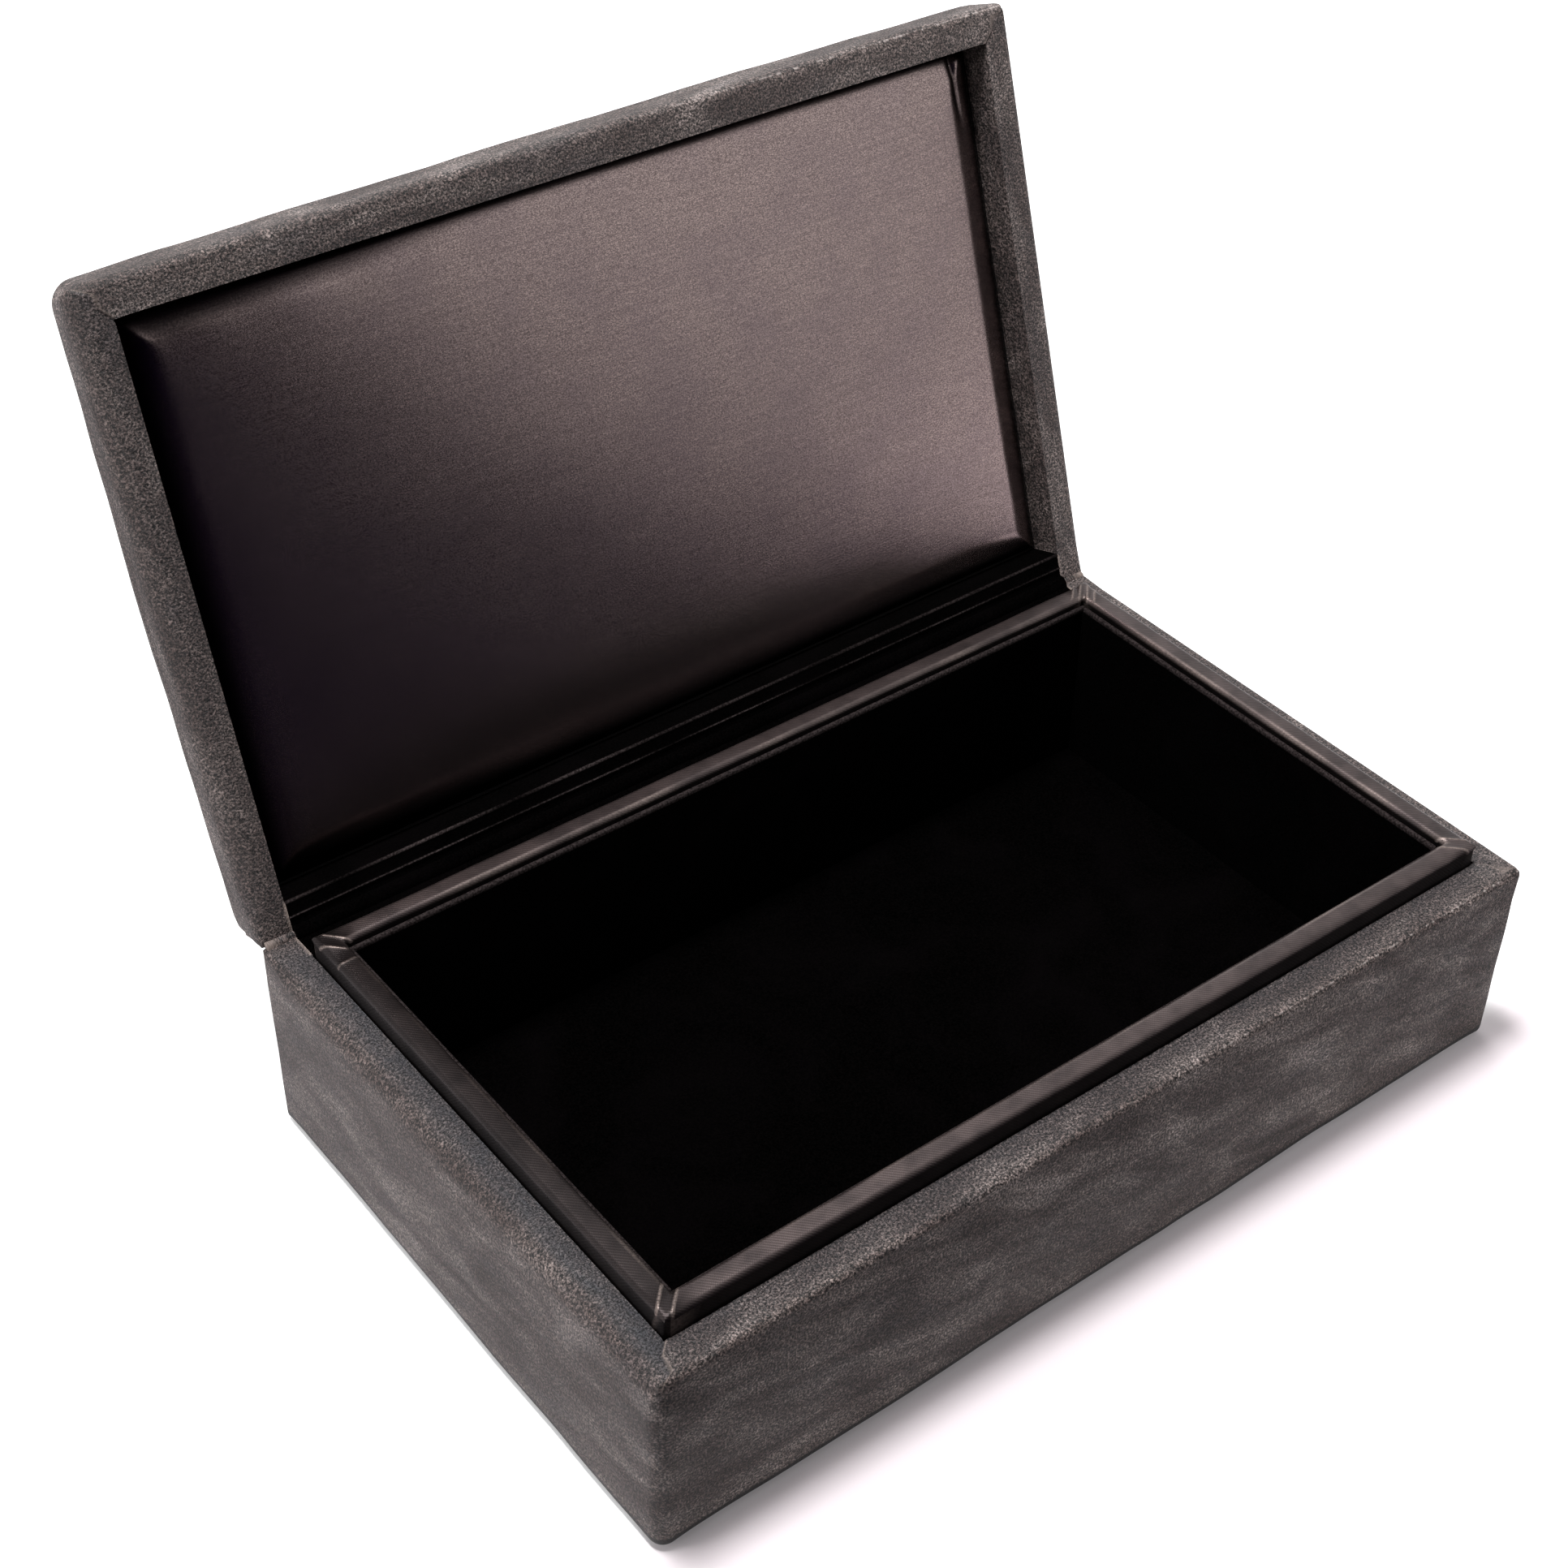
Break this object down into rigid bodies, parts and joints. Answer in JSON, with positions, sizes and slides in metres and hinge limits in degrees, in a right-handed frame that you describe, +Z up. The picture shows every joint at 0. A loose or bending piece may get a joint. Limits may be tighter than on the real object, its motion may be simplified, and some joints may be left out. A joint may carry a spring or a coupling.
{
  "type": "faraday key box",
  "caption": "Leather-wrapped padded box with a raised shielded lip, velvet lining and a cushioned lid on a fabric hinge, for keeping vehicle keys.",
  "frame": {"origin": "centre of the box's flat underside, where it rests", "axes": "+Z up, +X along the long front to the right, +Y towards the hinge at the back"},
  "size_m": [0.2, 0.1698, 0.1576],
  "materials": {
    "nubuck_leather": "matte",
    "shield_twill": "satin",
    "shield_satin": "satin",
    "shield_lining": "satin",
    "black_velvet": "matte",
    "base_cover_sheet": "matte",
    "fibreboard": "matte",
    "greyboard": "matte",
    "foam": "matte"
  },
  "bodies": {
    "box": {"base_cover": "base_cover_sheet", "base_board": "fibreboard", "front_wall_board": "fibreboard", "back_wall_board": "fibreboard", "left_wall_board": "fibreboard", "right_wall_board": "fibreboard", "front_foam_pad": "foam", "back_foam_pad": "foam", "left_foam_pad": "foam", "right_foam_pad": "foam", "box_leather_cover": "nubuck_leather", "front_lip_board": "fibreboard", "back_lip_board": "fibreboard", "left_lip_board": "fibreboard", "right_lip_board": "fibreboard", "lip_shield_cover": "shield_twill", "shield_tray": "shield_lining", "floor_board": "greyboard", "floor_velvet": "black_velvet", "front_velvet_panel": "black_velvet", "back_velvet_panel": "black_velvet", "left_velvet_panel": "black_velvet", "right_velvet_panel": "black_velvet", "leather_spine": "nubuck_leather", "hinge_strip": "black_velvet"},
    "lid": {"lid_top_board": "fibreboard", "lid_front_rail": "fibreboard", "lid_back_rail": "fibreboard", "lid_left_rail": "fibreboard", "lid_right_rail": "fibreboard", "lid_front_foam": "foam", "lid_back_foam": "foam", "lid_left_foam": "foam", "lid_right_foam": "foam", "lid_top_foam": "foam", "lid_leather_cover": "nubuck_leather", "lid_shield_sheet": "shield_lining", "cushion_board": "greyboard", "cushion_foam": "foam", "cushion_cover": "shield_satin"}
  },
  "joints": [
    {"name": "lid_hinge", "type": "hinge", "parent": "box", "child": "lid", "pos_m": [0, 0.0605, 0.04315], "axis": [1, 0, 0], "range_deg": [0, 108], "deforming": ["leather_spine", "hinge_strip"]}
  ]
}
